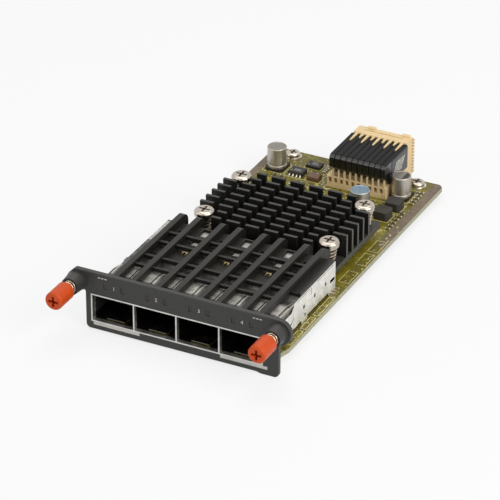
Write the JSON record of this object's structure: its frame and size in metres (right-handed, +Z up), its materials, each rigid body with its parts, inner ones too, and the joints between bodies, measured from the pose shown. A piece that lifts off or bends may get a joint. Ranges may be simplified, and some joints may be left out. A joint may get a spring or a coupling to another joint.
{
  "type": "ethernet switch module",
  "caption": "Plug-in network port module: black bezel with sprung red thumbscrews, steel port cage under a frame of light pipes, finned heat sink, circuit board and backplane connector.",
  "frame": {"origin": "middle of the bounding box's bottom face", "axes": "+Y from the bezel to the backplane connector, +Z up from the board, +X to the right as seen from the front"},
  "size_m": [0.0748, 0.1428, 0.0199],
  "materials": {
    "bezel": "satin black",
    "screw_steel": "nickel plated",
    "spring_steel": "bright wire",
    "tin_plate": "tin plated, bright",
    "contact_gold": "gold plated",
    "carrier_black": "moulded, satin",
    "lamp": "clear resin",
    "board": "olive solder mask",
    "sink_black": "black anodised",
    "pad_grey": "soft pad",
    "chip_black": "moulded",
    "cream_plastic": "glass filled",
    "solder": "tinned",
    "coil_brown": "moulded",
    "coil_grey": "sintered",
    "ceramic": "fired",
    "can_aluminium": "drawn can",
    "clear_pipe": "clear acrylic",
    "wafer_black": "moulded",
    "thumb_red": "orange red, satin"
  },
  "bodies": {
    "module": {"bezel": "bezel", "bezel_screws": "screw_steel", "board": "board", "board_nuts": "screw_steel", "board_screws": "screw_steel", "cage_divider_1": "tin_plate", "cage_divider_2": "tin_plate", "cage_divider_3": "tin_plate", "cage_floor": "tin_plate", "cage_shell": "tin_plate", "capacitor_bases": "chip_black", "capacitor_can_1": "can_aluminium", "capacitor_can_2": "can_aluminium", "capacitor_can_3": "can_aluminium", "ceramic_parts": "ceramic", "chip_leads": "solder", "chip_resistors": "chip_black", "connector_comb": "cream_plastic", "connector_housing": "cream_plastic", "connector_pins": "solder", "connector_shield": "tin_plate", "control_chip": "chip_black", "emi_collar": "tin_plate", "filter_coil": "coil_brown", "heat_sink": "sink_black", "heat_sink_nuts": "screw_steel", "heat_sink_screws": "screw_steel", "heat_sink_springs": "spring_steel", "leds": "lamp", "light_pipe_carrier": "carrier_black", "light_pipes_1": "clear_pipe", "light_pipes_2": "clear_pipe", "light_pipes_3": "clear_pipe", "light_pipes_4": "clear_pipe", "logic_chip": "chip_black", "port_collar": "tin_plate", "port_connector_1": "chip_black", "port_connector_2": "chip_black", "port_connector_3": "chip_black", "port_connector_4": "chip_black", "port_contacts": "contact_gold", "power_coils": "coil_grey", "switch_chip": "chip_black", "thermal_pad": "pad_grey", "thumb_spring_left": "spring_steel", "thumb_spring_right": "spring_steel", "wafer_1": "wafer_black", "wafer_10": "wafer_black", "wafer_2": "wafer_black", "wafer_3": "wafer_black", "wafer_4": "wafer_black", "wafer_5": "wafer_black", "wafer_6": "wafer_black", "wafer_7": "wafer_black", "wafer_8": "wafer_black", "wafer_9": "wafer_black"},
    "clip_left": {"retaining_ring_left": "spring_steel"},
    "screw_left": {"thumbscrew_left": "thumb_red"},
    "clip_right": {"retaining_ring_right": "spring_steel"},
    "screw_right": {"thumbscrew_right": "thumb_red"}
  },
  "joints": [
    {"name": "thumbscrew_left_push", "type": "slide", "parent": "module", "child": "clip_left", "axis": [0, 1, 0], "range_m": [0, 0.002], "stiffness_N_per_m": 400, "deforming": ["thumb_spring_left"]},
    {"name": "thumbscrew_left_turn", "type": "hinge", "parent": "clip_left", "child": "screw_left", "pos_m": [-0.03405, -0.06755, 0.0156], "axis": [0, 1, 0], "continuous": true},
    {"name": "thumbscrew_right_push", "type": "slide", "parent": "module", "child": "clip_right", "axis": [0, 1, 0], "range_m": [0, 0.002], "stiffness_N_per_m": 400, "deforming": ["thumb_spring_right"]},
    {"name": "thumbscrew_right_turn", "type": "hinge", "parent": "clip_right", "child": "screw_right", "pos_m": [0.03315, -0.06755, 0.0156], "axis": [0, 1, 0], "continuous": true}
  ]
}
